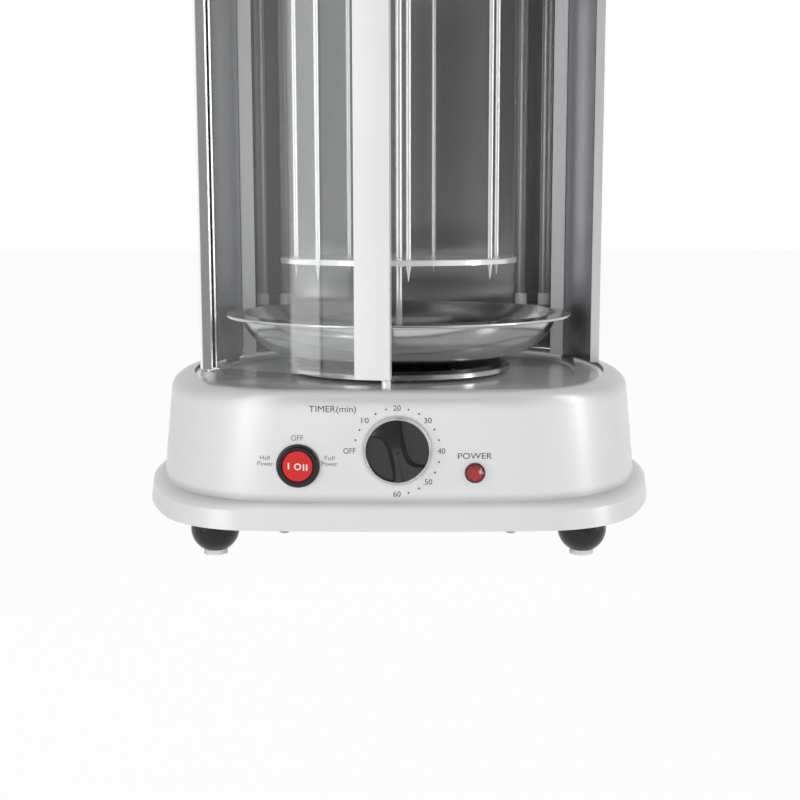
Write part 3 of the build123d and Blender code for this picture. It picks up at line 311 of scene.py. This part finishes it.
def principled(name, **values):
    """The tree and shader of a new finish, kept by its name, with the shader's sockets set."""
    material = bpy.data.materials.new(name)
    material.use_nodes = True
    finishes[name] = material
    shader = material.node_tree.nodes["Principled BSDF"]
    for key, value in values.items():
        shader.inputs[key.replace("_", " ")].default_value = value
    return material.node_tree, shader


def object_vector(tree, centre=None):
    """Object coordinates, or the same about a piece's centre."""
    coordinates = tree.nodes.new("ShaderNodeTexCoord").outputs["Object"]
    if centre is None:
        return coordinates
    mapping = add(tree, "ShaderNodeMapping", Location=-Vector(centre))
    tree.links.new(coordinates, mapping.inputs["Vector"])
    return mapping.outputs["Vector"]


def place_group(tree, group, vector, **values):
    """The outputs of a node group placed in a finish with its own values."""
    node = tree.nodes.new("ShaderNodeGroup")
    node.node_tree = group
    tree.links.new(vector, node.inputs["Vector"])
    for key, value in values.items():
        node.inputs[key].default_value = value
    return node.outputs


def band_mask(tree, value, low, high, at_low, at_high, interpolation="SMOOTHSTEP"):
    """A change from one value to another along a coordinate."""
    band = add(
        tree, "ShaderNodeMapRange", interpolation_type=interpolation,
        From_Min=low, From_Max=high, To_Min=at_low, To_Max=at_high,
    )
    tree.links.new(value, band.inputs["Value"])
    return band.outputs["Result"]


def shade_colour(tree, shader, colour, *shades):
    """The base colour, lightened and darkened by shades."""
    value = shades[0]
    for other in shades[1:]:
        value = math_node(tree, "MULTIPLY", value, other)
    grey = add(tree, "ShaderNodeCombineColor")
    for channel in ("Red", "Green", "Blue"):
        tree.links.new(value, grey.inputs[channel])
    mix = add(tree, "ShaderNodeMix", data_type="RGBA", blend_type="MULTIPLY", Factor=1.0)
    mix.inputs[MIX_FIRST].default_value = (*colour, 1.0)
    tree.links.new(grey.outputs[0], mix.inputs[MIX_SECOND])
    tree.links.new(mix.outputs[MIX_RESULT], shader.inputs["Base Color"])


def vary_roughness(tree, shader, base, shade):
    """Roughness that follows a shade."""
    tree.links.new(math_node(tree, "MULTIPLY", shade, base), shader.inputs["Roughness"])


def add_bump(tree, shader, height, strength, distance):
    """A bump that feeds the shader's normal."""
    bump = add(tree, "ShaderNodeBump", Strength=strength, Distance=distance)
    tree.links.new(height, bump.inputs["Height"])
    tree.links.new(bump.outputs["Normal"], shader.inputs["Normal"])


def sheet_metal(name, colour, roughness, along, amount, bump=0.05, metallic=1.0):
    """Brushed sheet with streaks in one direction."""
    tree, shader = principled(name, Metallic=metallic)
    vector = object_vector(tree)
    grain = place_group(tree, brushed_grain, vector, Along=along, Amount=amount)
    cloud = place_group(tree, mottle, vector, Scale=14.0, Amount=0.12)
    shade_colour(tree, shader, colour, grain["Shade"], cloud["Shade"])
    vary_roughness(tree, shader, roughness, cloud["Shade"])
    add_bump(tree, shader, grain["Height"], bump, METAL_BUMP)
    return tree, shader


def spun_metal(name, colour, roughness, amount, metallic=1.0):
    """Metal with rings round the spindle."""
    tree, shader = principled(name, Metallic=metallic)
    vector = object_vector(tree, SPINDLE)
    rings = place_group(tree, spun_rings, vector, Pitch=RING_PITCH, Amount=amount)
    shade_colour(tree, shader, colour, rings["Shade"])
    vary_roughness(tree, shader, roughness, rings["Shade"])
    add_bump(tree, shader, rings["Height"], 0.05, METAL_BUMP)


def cloudy(name, colour, roughness, scale, amount, bump=0.0, **values):
    """A plain finish with soft variation and, where asked, a faint texture."""
    tree, shader = principled(name, **values)
    cloud = place_group(tree, mottle, object_vector(tree), Scale=scale, Amount=amount)
    shade_colour(tree, shader, colour, cloud["Shade"])
    vary_roughness(tree, shader, roughness, cloud["Shade"])
    if bump:
        add_bump(tree, shader, cloud["Height"], bump, SOFT_BUMP)


def make_clear_glass():
    """Clear glass with a faint green tint and a little haze."""
    tree, shader = principled(
        "clear_glass", Base_Color=(0.95, 0.97, 0.965, 1.0), Transmission_Weight=1.0, IOR=1.46
    )
    haze = place_group(tree, mottle, object_vector(tree), Scale=40.0, Amount=0.5)
    vary_roughness(tree, shader, 0.012, haze["Shade"])


def make_red_lens():
    """Deep red lens with a painted highlight in its middle and painted shade towards its rim."""
    tree, shader = principled(
        "red_lens", Transmission_Weight=0.15, IOR=1.5, Coat_Weight=0.15, Coat_Roughness=0.05
    )
    cloud = place_group(tree, mottle, object_vector(tree), Scale=250.0, Amount=0.3)
    place = axes(tree, object_vector(tree, LAMP_AXIS))
    radius = distance_from_axis(tree, place["X"], place["Z"])
    # Painted highlight and shade: the colour is lighter in the lens's middle and darker towards
    # its rim.
    rim = band_mask(tree, radius, LENS_MIDDLE_R, LENS_R, LENS_MIDDLE_PAINTED_HIGHLIGHT, LENS_RIM_PAINTED_SHADE)
    shade_colour(tree, shader, (0.33, 0.005, 0.008), cloud["Shade"], rim)
    vary_roughness(tree, shader, 0.12, cloud["Shade"])


def make_silver_paint():
    """Silver lacquer, with painted shade in the crease over the skirt and along the shoulder."""
    tree, shader = principled("silver_paint", **PAINT_SHADER)
    vector = object_vector(tree)
    cloud = place_group(tree, mottle, vector, Scale=PAINT_CLOUD_SCALE, Amount=PAINT_CLOUD_AMOUNT)
    height = axes(tree, vector)["Z"]
    # Painted shade: the colour darkens in a band round the crease over the skirt and towards the
    # top of the shoulder.
    away = math_node(tree, "ABSOLUTE", math_node(tree, "SUBTRACT", height, CREASE_Z))
    crease = band_mask(tree, away, 0.0, CREASE_REACH, CREASE_PAINTED_SHADE, 1.0)
    shoulder = band_mask(tree, height, SHOULDER_START_Z, SHOULDER_END_Z, 1.0, SHOULDER_PAINTED_SHADE)
    shade_colour(tree, shader, PAINT_COLOUR, cloud["Shade"], crease, shoulder)
    vary_roughness(tree, shader, PAINT_ROUGHNESS, cloud["Shade"])


def make_reflector_steel():
    """Polished sheet that is duller and lighter along its front lips."""
    tree, shader = sheet_metal(
        "reflector_steel", (0.55, 0.55, 0.56), 0.2, UPRIGHT_GRAIN, 0.1, metallic=REFLECTOR_METALLIC
    )
    depth = axes(tree, object_vector(tree))["Y"]
    metallic = band_mask(
        tree, depth, LIP_FRONT_Y, LIP_BACK_Y, LIP_METALLIC, REFLECTOR_METALLIC, "LINEAR"
    )
    tree.links.new(metallic, shader.inputs["Metallic"])


def make_hinge_steel():
    """Drawn profile: grey face with a painted highlight along its rolled edges."""
    tree, shader = principled("hinge_steel", Metallic=1.0)
    vector = object_vector(tree, HINGE_FACE_MIDDLE)
    grain = place_group(tree, brushed_grain, vector, Along=UPRIGHT_GRAIN, Amount=0.06)
    # Painted highlight: the colour brightens towards both rolled edges of the profile.
    away = math_node(tree, "ABSOLUTE", axes(tree, vector)["X"])
    edge = band_mask(
        tree, away, HINGE_EDGE_START, HINGE_EDGE_END, HINGE_FACE_SHADE, HINGE_EDGE_PAINTED_HIGHLIGHT
    )
    shade_colour(tree, shader, (1.0, 1.0, 1.0), edge, grain["Shade"])
    vary_roughness(tree, shader, 0.25, grain["Shade"])


cloudy("zinc_steel", (0.55, 0.56, 0.58), 0.42, 160.0, 0.25, Metallic=1.0)
cloudy("zinc_screws", (0.33, 0.33, 0.34), 0.35, 200.0, 0.15, Metallic=1.0)
cloudy("bright_screws", (0.8, 0.8, 0.8), 0.18, 200.0, 0.1, Metallic=1.0)
cloudy(
    "black_plastic", (0.014, 0.014, 0.015), 0.28, 900.0, 0.25, bump=0.05, Specular_IOR_Level=0.35
)
cloudy("black_gloss", (0.01, 0.01, 0.011), 0.25, 300.0, 0.1, Specular_IOR_Level=0.4)
cloudy("knob_plastic", (0.024, 0.024, 0.025), 0.22, 500.0, 0.15)
cloudy("red_rocker", (0.62, 0.022, 0.018), 0.35, 80.0, 0.06, Specular_IOR_Level=0.35)
cloudy("white_felt", (0.82, 0.82, 0.8), 0.9, 1500.0, 0.3, bump=0.5)
cloudy("rod_steel", (0.78, 0.78, 0.78), 0.18, 120.0, 0.1, Metallic=0.5)
cloudy("silver_plate", (0.6, 0.6, 0.6), 0.22, 150.0, 0.06, Metallic=1.0)
cloudy("heater_sheath", (0.34, 0.335, 0.33), 0.4, 60.0, 0.3, Metallic=0.8)
cloudy("ceramic", (0.6, 0.59, 0.57), 0.3, 90.0, 0.08, Coat_Weight=0.5)
cloudy("bronze", (0.55, 0.4, 0.22), 0.4, 250.0, 0.2, Metallic=1.0)
cloudy("hinge_bushes", (0.55, 0.55, 0.55), 0.4, 300.0, 0.1)
cloudy(
    "cover_paint", PAINT_COLOUR, PAINT_ROUGHNESS, PAINT_CLOUD_SCALE, PAINT_CLOUD_AMOUNT,
    **PAINT_SHADER,
)
cloudy("dark_print", (0.07, 0.07, 0.07), 0.5, 2000.0, 0.3)
cloudy("grey_print", (0.16, 0.16, 0.16), 0.5, 2000.0, 0.3)
cloudy("white_print", (0.8, 0.8, 0.8), 0.45, 2000.0, 0.1)

sheet_metal("stainless_sheet", (0.5, 0.5, 0.51), 0.27, UPRIGHT_GRAIN, 0.1)
sheet_metal(
    "bright_strip", (0.8, 0.8, 0.8), 0.35, UPRIGHT_GRAIN, 0.03, bump=0.02, metallic=0.2
)
sheet_metal("tray_steel", (0.88, 0.88, 0.89), 0.2, LEVEL_GRAIN, 0.1, metallic=0.25)
sheet_metal("shell_steel", (0.78, 0.78, 0.79), 0.3, UPRIGHT_GRAIN, 0.08, metallic=0.5)
for liner in ("left_liner", "right_liner"):
    sheet_metal(liner + "_steel", (0.34, 0.34, 0.355), 0.24, UPRIGHT_GRAIN, 0.1)

spun_metal("turned_steel", (0.51, 0.51, 0.51), 0.18, 0.12)
for disc in ("lower_skewer_disc", "upper_skewer_disc"):
    spun_metal(disc + "_steel", (0.8, 0.8, 0.8), 0.2, 0.08, metallic=0.4)

make_clear_glass()
make_red_lens()
make_silver_paint()
make_reflector_steel()
make_hinge_steel()

for entry in frame["record"]["subparts"]:
    finish = finishes[OWN_FINISHES.get(entry["node"], entry["material_slot"])]
    for slot in nodes[entry["node"]].material_slots:
        slot.material = finish
nodes["door_glass"].visible_shadow = False


# The spun drip pan

def bend_points(start, end, bend_r, centre_z):
    """Points on the pan's bend, whose centre is straight over the flat's rim."""
    first = math.asin((start - PAN_FLAT_R) / bend_r)
    last = math.asin((end - PAN_FLAT_R) / bend_r)
    points = []
    for index in range(PAN_BEND_STEPS + 1):
        angle = first + (last - first) * index / PAN_BEND_STEPS
        points.append((PAN_FLAT_R + bend_r * math.sin(angle), centre_z - bend_r * math.cos(angle)))
    return points


def roll_points():
    """Points round the pan's rolled edge."""
    centre_z = PAN_DEPTH - PAN_RIM_DROP
    points = []
    for index in range(PAN_ROLL_STEPS + 1):
        angle = math.radians(PAN_ROLL_START + PAN_ROLL_STEP * index)
        across, upward = PAN_EDGE_R * math.cos(angle), PAN_EDGE_R * math.sin(angle)
        points.append((PAN_EDGE_CENTRE_R + across, centre_z + upward))
    return points


def pan_profile():
    """The pan's closed outline as radius and height over its floor's underside."""
    run = PAN_MOUTH_R - PAN_FLAT_R
    bend = (run ** 2 + PAN_DEPTH ** 2) / (2 * PAN_DEPTH)
    inner = bend - PAN_SHEET
    under = bend_points(PAN_FLAT_R, PAN_MOUTH_R, bend, bend)
    over = bend_points(PAN_FLAT_R + inner * run / bend, PAN_FLAT_R, inner, bend)
    hole = [(PAN_HOLE_R, PAN_SHEET), (PAN_HOLE_R, 0.0)]
    return [(PAN_HOLE_R, 0.0)] + under + roll_points() + over + hole


def spin_round_spindle(name, outline, floor_z):
    """A closed outline extruded point by point and spun round the spindle."""
    bpy.ops.mesh.primitive_plane_add(size=1.0, location=(0, 0, 0))
    made = bpy.context.object
    made.name = name
    bpy.ops.object.mode_set(mode="EDIT")
    bpy.ops.mesh.select_all(action="SELECT")
    bpy.ops.mesh.merge(type="CENTER")
    radius, height = outline[0]
    bpy.ops.transform.translate(value=(radius * MM, SPINDLE.y, floor_z + height * MM))
    for before, after in zip(outline, outline[1:]):
        step = ((after[0] - before[0]) * MM, 0.0, (after[1] - before[1]) * MM)
        bpy.ops.mesh.extrude_region_move(TRANSFORM_OT_translate={"value": step})
    bpy.ops.mesh.select_all(action="SELECT")
    bpy.ops.mesh.spin(steps=PAN_SPIN_STEPS, angle=2 * math.pi, center=SPINDLE, axis=(0, 0, 1))
    bpy.ops.mesh.select_all(action="SELECT")
    bpy.ops.mesh.remove_doubles(threshold=MERGE_DISTANCE)
    bpy.ops.mesh.normals_make_consistent(inside=False)
    bpy.ops.object.mode_set(mode="OBJECT")
    bpy.ops.object.shade_smooth_by_angle(angle=SMOOTH_ANGLE)
    return made


spun_pan = spin_round_spindle("spun_drip_pan", pan_profile(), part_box("drip_pan")[0][2])
spun_pan.data.materials.append(finishes["turned_steel"])
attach(spun_pan, "carousel")
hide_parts("drip_pan")


# Printed words and marks

def flat_word(words, x, z, width, height):
    """Words as a flat mesh, upright in XZ about a place, fitted to a width and height."""
    bpy.ops.object.text_add(location=(0, 0, 0))
    word = bpy.context.object
    word.data.body = words
    word.data.resolution_u = PRINT_CURVE_STEPS
    bpy.ops.object.convert(target="MESH")
    word = bpy.context.object
    xs = [vertex.co.x for vertex in word.data.vertices]
    ys = [vertex.co.y for vertex in word.data.vertices]
    across = (max(xs) + min(xs)) / 2
    upward = (max(ys) + min(ys)) / 2
    wide = width * MM / (max(xs) - min(xs))
    tall = height * MM / (max(ys) - min(ys))
    for vertex in word.data.vertices:
        left, up = (vertex.co.x - across) * wide, (vertex.co.y - upward) * tall
        vertex.co = (x * MM + left, 0.0, z * MM + up)
    return word


def flat_disc(x, z, radius, corners):
    """A flat disc, upright in XZ about a place."""
    bpy.ops.mesh.primitive_circle_add(
        vertices=corners, radius=radius * MM, fill_type="NGON",
        location=(x * MM, 0, z * MM), rotation=UPRIGHT,
    )
    bpy.ops.object.transform_apply(location=True, rotation=True, scale=True)
    return bpy.context.object


def flat_ring(x, z, radius, width):
    """A flat ring, upright in XZ about a place."""
    ring = flat_disc(x, z, radius, RING_CORNERS)
    bpy.ops.object.mode_set(mode="EDIT")
    bpy.ops.mesh.select_all(action="SELECT")
    bpy.ops.mesh.inset(thickness=width * MM)
    bpy.ops.mesh.delete(type="FACE")
    bpy.ops.object.mode_set(mode="OBJECT")
    return ring


def flat_bar(x, z, width, height):
    """A flat bar, upright in XZ about a place."""
    bpy.ops.mesh.primitive_plane_add(size=1.0, location=(0, 0, 0), rotation=UPRIGHT)
    bar = bpy.context.object
    bpy.ops.object.transform_apply(location=True, rotation=True, scale=True)
    bpy.ops.object.mode_set(mode="EDIT")
    bpy.ops.mesh.select_all(action="SELECT")
    bpy.ops.transform.resize(value=(width * MM, 1.0, height * MM))
    bpy.ops.mesh.subdivide(number_cuts=BAR_CUTS)
    bpy.ops.transform.translate(value=(x * MM, 0, z * MM))
    bpy.ops.object.mode_set(mode="OBJECT")
    return bar


def print_on(name, pieces, carrier, body, ink):
    """Join flat pieces, lay them on a carrier's front face and give them a little thickness."""
    bpy.ops.object.select_all(action="DESELECT")
    for piece in pieces:
        piece.select_set(True)
    bpy.context.view_layer.objects.active = pieces[0]
    if len(pieces) > 1:
        bpy.ops.object.join()
    made = bpy.context.object
    made.name = name
    for vertex in made.data.vertices:
        start = Vector((vertex.co.x, PRINT_RAY_START_Y, vertex.co.z))
        hit, point, normal, _ = carrier.ray_cast(start, BACKWARDS)
        if hit:
            vertex.co = point + normal * PRINT_LIFT
    bpy.ops.object.mode_set(mode="EDIT")
    bpy.ops.mesh.select_all(action="SELECT")
    bpy.ops.mesh.normals_make_consistent(inside=False)
    bpy.ops.object.mode_set(mode="OBJECT")
    if made.data.polygons[0].normal.y > 0:
        made.data.flip_normals()
    wall = made.modifiers.new("thickness", "SOLIDIFY")
    wall.thickness = PRINT_THICKNESS
    wall.offset = -1.0
    bpy.ops.object.modifier_apply(modifier=wall.name)
    made.data.materials.clear()
    made.data.materials.append(finishes[ink])
    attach(made, body)


bpy.context.view_layer.update()
base = nodes["base_housing"]
rocker = nodes["switch_rocker"]
timer_pieces = [flat_word(*words) for words in TIMER_WORDS]
timer_pieces += [flat_disc(x, z, DOT_RADIUS, DOT_CORNERS) for x, z in TIMER_DOTS]
print_on("timer_words", timer_pieces, base, "grill_housing", "dark_print")
lamp_pieces = [flat_word(*words) for words in LAMP_WORDS]
print_on("lamp_word", lamp_pieces, base, "grill_housing", "dark_print")
switch_pieces = [flat_word(*words) for words in SWITCH_WORDS]
print_on("switch_words", switch_pieces, base, "grill_housing", "grey_print")
rocker_pieces = [flat_bar(x, z, ROCKER_BAR_W, ROCKER_BAR_H) for x, z in ROCKER_BARS]
rocker_pieces.append(flat_ring(*ROCKER_RING, ROCKER_RING_R, ROCKER_RING_W))
print_on("rocker_marks", rocker_pieces, rocker, "power_rocker", "white_print")


# Floor, light and camera

def seen_rays(tree):
    """One on rays from the camera, reflections and glass, and nought on the others."""
    rays = tree.nodes.new("ShaderNodeLightPath").outputs
    seen = math_node(tree, "MAXIMUM", rays["Is Camera Ray"], rays["Is Glossy Ray"])
    return math_node(tree, "MAXIMUM", seen, rays["Is Transmission Ray"])


def mix_surface(tree, share, first, second, output):
    """Two shaders mixed by a share into a tree's output."""
    mix = tree.nodes.new("ShaderNodeMixShader")
    for socket, source in zip(mix.inputs, (share, first.outputs[0], second.outputs[0])):
        tree.links.new(source, socket)
    tree.links.new(mix.outputs[0], tree.nodes[output].inputs["Surface"])


def make_floor():
    """A pale floor that is seen nearly white."""
    bpy.ops.mesh.primitive_plane_add(size=FLOOR_SIZE, location=(0, 0, 0))
    floor = bpy.context.object
    floor.name = "floor"
    tree, shader = principled("pale_floor", Roughness=0.9, Base_Color=(0.92, 0.92, 0.92, 1.0))
    white = add(tree, "ShaderNodeEmission", Color=WHITE, Strength=1.0)
    share = math_node(tree, "MULTIPLY", seen_rays(tree), FLOOR_WHITE_SHARE)
    mix_surface(tree, share, shader, white, "Material Output")
    floor.data.materials.append(finishes["pale_floor"])


def make_drape():
    """A dark drape behind the camera, which the steel reflects."""
    bpy.ops.mesh.primitive_plane_add(size=1.0, location=DRAPE_PLACE, rotation=UPRIGHT)
    drape = bpy.context.object
    drape.name = "drape"
    drape.scale = DRAPE_SIZE
    bpy.ops.object.transform_apply(location=True, rotation=True, scale=True)
    tree, shader = principled("drape_cloth", Roughness=0.95)
    cloud = place_group(tree, mottle, object_vector(tree), Scale=4.0, Amount=0.3)
    shade_colour(tree, shader, (0.05, 0.05, 0.05), cloud["Shade"])
    drape.data.materials.append(finishes["drape_cloth"])
    drape.visible_camera = False
    drape.visible_diffuse = False
    drape.visible_shadow = False


def make_world():
    """Plain light all round, white where the camera and reflections look."""
    world = bpy.data.worlds.new("studio")
    bpy.context.scene.world = world
    world.use_nodes = True
    tree = world.node_tree
    shining = tree.nodes["Background"]
    shining.inputs["Color"].default_value = WHITE
    shining.inputs["Strength"].default_value = WORLD_STRENGTH
    seen = add(tree, "ShaderNodeBackground", Color=WHITE, Strength=1.0)
    mix_surface(tree, seen_rays(tree), shining, seen, "World Output")


def make_lamp(name, bearing, distance, height, width, tall, power, aim_height):
    """An area lamp at a bearing from the front, positive to the right, aimed at the spindle."""
    turn = math.radians(bearing)
    place = Vector((math.sin(turn) * distance, -math.cos(turn) * distance, height))
    aim = Vector((0, 0, aim_height))
    light = bpy.data.lights.new(name, "AREA")
    light.shape = "RECTANGLE"
    light.size = width
    light.size_y = tall
    light.energy = power
    lamp = bpy.data.objects.new(name, light)
    bpy.context.scene.collection.objects.link(lamp)
    lamp.location = place
    lamp.rotation_euler = (aim - place).to_track_quat("-Z", "Y").to_euler()
    lamp.visible_camera = False
    return lamp


def make_camera():
    """The camera where the photograph was taken from."""
    data = bpy.data.cameras.new("camera")
    data.sensor_width = CAMERA_SENSOR
    data.lens = CAMERA_LENS
    camera = bpy.data.objects.new("camera", data)
    bpy.context.scene.collection.objects.link(camera)
    turn = Matrix((CAMERA_RIGHT, CAMERA_UP, CAMERA_BACK)).transposed().to_4x4()
    camera.matrix_world = Matrix.Translation(CAMERA_PLACE) @ turn
    bpy.context.scene.camera = camera


make_floor()
make_drape()
make_world()
lamps = {name: make_lamp(name, *values) for name, values in LAMPS.items()}
lamps["front_fill"].visible_glossy = False
lamps["front_fill"].visible_transmission = False
make_camera()

bpy.context.scene.view_settings.view_transform = "Standard"
